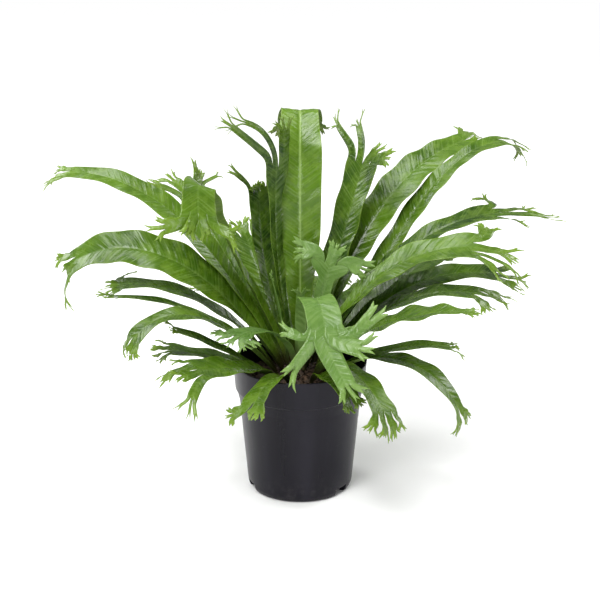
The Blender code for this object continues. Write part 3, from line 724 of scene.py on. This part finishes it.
def crest(sheet, frond, row, columns, rng):
    """Forks the last row of the blade into lobes, each lobe into forks, and each fork into teeth."""
    first = 0
    for (angle, length, width, curl), count in zip(frond["lobes"], columns.tolist()):
        length, width = length * MM, width * MM
        fringe = min(0.22 * length, 0.011)
        tip = width * (1.3 - 0.55 * ease((length - 0.040) / 0.030))
        arm, heading, pitch = tongue(sheet, piece_of(row, first, first + count), 0.0, np.radians(angle),
                                     np.radians(curl), length - 1.5 * fringe, 0.92 * width, tip, 12, 0.0,
                                     rng.uniform(-0.5, 0.25), rng.uniform(-0.5, 0.5), 0.0008)
        first += count
        parts = 2 if count < 6 else 3
        for number, (a, b) in enumerate(cuts(count, rng.uniform(0.85, 1.15, parts))):
            away = np.radians((number - (parts - 1) / 2) * rng.uniform(28, 50) + rng.uniform(-12, 12))
            reach = fringe * rng.uniform(0.65, 1.35)
            wide = tip * (b - a) / count
            fork, turned, leaning = tongue(
                sheet, piece_of(arm, a, b), heading, away, 0.0, reach, 0.9 * wide, 0.95 * wide, 7,
                pitch, rng.uniform(-0.5, 0.4), rng.uniform(-0.5, 0.5))
            for tooth, (c, d) in enumerate(cuts(b - a, [1, 1]) if b - a > 1 else [(0, 1)]):
                part = np.radians((tooth - 0.5) * rng.uniform(35, 65))
                tongue(sheet, piece_of(fork, c, d), turned, part, 0.0,
                       max(0.003, reach * rng.uniform(0.4, 0.8)), 0.42 * wide, 0.06 * wide, 4,
                       leaning, rng.uniform(-0.4, 0.4), 0.0)


# %% [markdown]
# ## Leaf finish
#
# The upper face is glossy, a fresh mid green with a pale line along the midrib and slanted side veins. The
# young tips are lime, and the last centimetres above the crown turn brown. Light passes through the leaf,
# so a share of a translucent shader is mixed in. The underside is duller and greyer, with a
# brown midrib near the foot.
# Each frond also carries a tone that darkens or lightens its green. It comes partly from the frond's age
# and is partly painted shade on fronds that stand in shadow.

# %% Leaf material
def leaf_finish(name, deep, fresh, tip, vein, rough, glow):
    """A leaf material that reads how far the leaf has grown, the distance from its vein, and its age."""
    finish, tree, shader = new_finish(name, IOR=1.45)
    grown = step(tree, "Attribute", attribute_name="grown").outputs["Fac"]
    off = step(tree, "Attribute", attribute_name="off").outputs["Fac"]
    age = step(tree, "Attribute", attribute_name="age").outputs["Fac"]
    margin = step(tree, "Attribute", attribute_name="margin").outputs["Fac"]
    tone_and_painted_shade = step(tree, "Attribute", attribute_name="tone_and_painted_shade").outputs["Fac"]
    place = step(tree, "TexCoord").outputs["Object"]
    away = maths(tree, "ABSOLUTE", off)
    slanted = maths(tree, "SUBTRACT", grown, maths(tree, "MULTIPLY", away, VEIN_SLANT))
    on_leaf = step(tree, "CombineXYZ", [("X", slanted), ("Y", off)]).outputs[0]
    clouds = noise(tree, place, 24.0, 3.0, 0.5)
    blotch = noise(tree, place, 95.0, 5.0, 0.6)
    veins = noise(tree, on_leaf, 520.0, 2.0, 0.4, stretch=(1.0, 0.04, 1.0))
    cells = noise(tree, on_leaf, 2600.0, 2.0, 0.5, stretch=(1.0, 0.3, 1.0))
    blisters = noise(tree, on_leaf, 150.0, 2.0, 0.5, stretch=(1.0, 0.3, 1.0))
    # The frond's tone moves its colour from deep to fresh green. Where the tone is low, it is painted
    # shade.
    lighter = maths(tree, "MULTIPLY", tone_and_painted_shade, 0.75)
    pale = maths(tree, "ADD", lighter, spread(tree, clouds, 0.3, 0.7, -0.1, 0.4))
    colour = blend(tree, maths(tree, "MAXIMUM", maths(tree, "MINIMUM", pale, 1.0), 0.0), deep, fresh)
    colour = blend(tree, spread(tree, blotch, 0.35, 0.8, 0.0, 0.35), colour, tip)
    colour = blend(tree, spread(tree, veins, 0.45, 0.75, 0.0, 0.3), colour, vein)
    colour = blend(tree, spread(tree, age, 0.35, 1.0, 0.0, 0.75), colour, tip)
    band = spread(tree, away, 0.0018, 0.0004)
    line = maths(tree, "MULTIPLY", band, spread(tree, tone_and_painted_shade, 0.9, 1.0, 0.13, 0.75))
    colour = blend(tree, line, colour, vein)
    edge = spread(tree, margin, 0.9, 1.0, 0.0, 0.35)
    colour = blend(tree, edge, colour, tip)
    colour = blend(tree, spread(tree, grown, 0.034, 0.004, 0.0, 0.9), colour, (0.035, 0.022, 0.008))
    tree.links.new(colour, shader.inputs["Base Color"])
    gloss = maths(tree, "ADD", spread(tree, blotch, 0.3, 0.7, rough, rough + 0.12),
                  maths(tree, "MULTIPLY", cells, 0.06))
    tree.links.new(gloss, shader.inputs["Roughness"])
    relief = bump(tree, blisters, 0.0022, 0.6)
    relief = bump(tree, veins, 0.0005, 0.55, relief)
    relief = bump(tree, cells, 0.00012, 0.35, relief)
    tree.links.new(relief, shader.inputs["Normal"])
    through = step(tree, "BsdfTranslucent", [("Color", blend(tree, 0.55, colour, (0.30, 0.55, 0.03)))])
    mixed = step(tree, "MixShader", [(0, glow), (1, shader.outputs[0]), (2, through.outputs[0])])
    tree.links.new(mixed.outputs[0], tree.nodes["Material Output"].inputs["Surface"])
    return finish


upper = leaf_finish("leaf_upper", (0.009, 0.040, 0.001), (0.088, 0.185, 0.006), (0.20, 0.32, 0.020),
                    (0.28, 0.42, 0.11), 0.17, 0.15)
under = leaf_finish("leaf_under", (0.034, 0.078, 0.007), (0.095, 0.165, 0.020), (0.20, 0.29, 0.05),
                    (0.24, 0.31, 0.09), 0.42, 0.16)
young_upper = leaf_finish("young_leaf_upper", (0.060, 0.150, 0.018), (0.125, 0.235, 0.045),
                          (0.22, 0.36, 0.08), (0.32, 0.46, 0.17), 0.20, 0.16)
young_under = leaf_finish("young_leaf_under", (0.075, 0.165, 0.025), (0.135, 0.240, 0.050),
                          (0.22, 0.36, 0.09), (0.31, 0.42, 0.15), 0.34, 0.16)

# %% Grow every frond
# Each frond's tone runs from 0 for deep green to 1 for fresh green. Younger fronds are paler, and the
# lowest values are painted shade on fronds that stand in shadow behind others, such as left_5, left_6,
# right_1 and right_9.
FROND_TONE_AND_PAINTED_SHADE = {"upright": 1.0, "left_1": 0.8, "left_3": 0.9, "left_2": 0.5, "left_4": 0.6, "left_5": 0.05,
        "left_6": 0.0, "right_1": 0.1, "right_2": 0.55, "right_3": 0.55, "right_4": 0.05, "right_5": 0.75,
        "right_8": 0.5, "right_9": 0.15, "right_10": 0.3, "left_7": 0.5, "left_8": 0.4, "left_9": 0.1,
        "left_13": 0.1, "left_11": 0.6, "front_2": 0.85, "front_1": 0.85, "left_12": 0.85,
        "front_3": 0.75, "front_5": 0.75}
PALE = ("front_1", "front_2", "front_4", "young_1", "young_2")
total = 0
for number, (name, frond) in enumerate(FRONDS.items()):
    rng = np.random.default_rng(100 + number)
    sheet = new_sheet()
    row, columns = blade(sheet, frond, rng)
    crest(sheet, frond, row, columns, rng)
    parts = ("spot", "grown", "off", "margin", "age")
    spot, grown, off, margin, age = (np.concatenate(sheet[k]) for k in parts)
    faces = np.concatenate(sheet["faces"])
    piece = make_piece("fern_frond_" + name, onto_midrib(frond, spot), faces,
                       [young_upper, young_under] if name in PALE else [upper, under], "frond_" + name,
                       dict(grown=grown[:, 0], off=off[:, 0], margin=margin[:, 0], age=age[:, 0],
                            tone_and_painted_shade=np.full(len(spot), FROND_TONE_AND_PAINTED_SHADE.get(name, 0.45))))
    wall = piece.modifiers.new("thickness", "SOLIDIFY")
    wall.thickness, wall.offset, wall.material_offset = 0.0006, -1.0, 1
    total += len(faces)
print("frond faces", total)

# %% [markdown]
# ## Floor, light and camera
#
# The plant stands on a plain pale floor in soft studio light: a wide key lamp from above and in front, a
# fill from the right, and a bright world that keeps the shadows open.

# %% Floor
bpy.ops.mesh.primitive_plane_add(size=30.0, location=(0.0, 0.0, 0.0))
floor = bpy.context.object
floor.name = "studio_floor"
paper, tree, shader = new_finish("pale_paper", Roughness=0.9)
shader.inputs["Base Color"].default_value = (0.93, 0.93, 0.93, 1.0)
floor.data.materials.append(paper)

# %% Light
world = bpy.data.worlds.new("studio")
bpy.context.scene.world = world
world.use_nodes = True
world.node_tree.nodes["Background"].inputs["Color"].default_value = (1.0, 1.0, 1.0, 1.0)
world.node_tree.nodes["Background"].inputs["Strength"].default_value = 0.31


def softbox(name, place, aim, size, power):
    """A square area lamp at `place` that faces `aim`."""
    lamp = bpy.data.lights.new(name, "AREA")
    lamp.size, lamp.energy = size, power
    holder = bpy.data.objects.new(name, lamp)
    bpy.context.scene.collection.objects.link(holder)
    holder.location = place
    direction = np.array(aim) - np.array(place)
    holder.rotation_euler = (np.arccos(-direction[2] / np.linalg.norm(direction)), 0.0,
                             np.arctan2(direction[1], direction[0]) - np.pi / 2)
    return holder


sun = bpy.data.lights.new("soft_key", "SUN")
sun.energy, sun.angle = 3.0, np.radians(30)
key = bpy.data.objects.new("soft_key", sun)
bpy.context.scene.collection.objects.link(key)
key.rotation_euler = (np.radians(34), 0.0, np.radians(-24))
softbox("overhead", (-0.25, 0.25, 1.3), (0.0, 0.0, 0.25), 0.6, 8.0)
softbox("back_left", (-1.2, 0.9, 1.0), (0.0, 0.0, 0.25), 0.7, 11.0)
softbox("back_right", (1.2, 0.9, 1.0), (0.0, 0.0, 0.25), 0.7, 11.0)
softbox("right_fill", (1.3, -1.3, 0.5), (0.0, 0.0, 0.1), 0.22, 6.0)
softbox("left_fill", (-1.15, -1.6, 0.6), (0.0, 0.0, 0.1), 0.2, 5.0)

# %% Camera
CAMERA_ELEVATION, CAMERA_DISTANCE, AIM_HEIGHT = 19.0, 1.5, 0.205
camera = bpy.data.objects.new("camera", bpy.data.cameras.new("camera"))
bpy.context.scene.collection.objects.link(camera)
lean = np.radians(CAMERA_ELEVATION)
camera.location = (0.0, -CAMERA_DISTANCE * np.cos(lean), AIM_HEIGHT + CAMERA_DISTANCE * np.sin(lean))
camera.rotation_euler = (np.pi / 2 - lean, 0.0, 0.0)
camera.data.sensor_width = 36.0
camera.data.lens = 87.4
camera.data.clip_start = 0.05
bpy.context.scene.camera = camera
bpy.context.scene.view_settings.view_transform = "Standard"
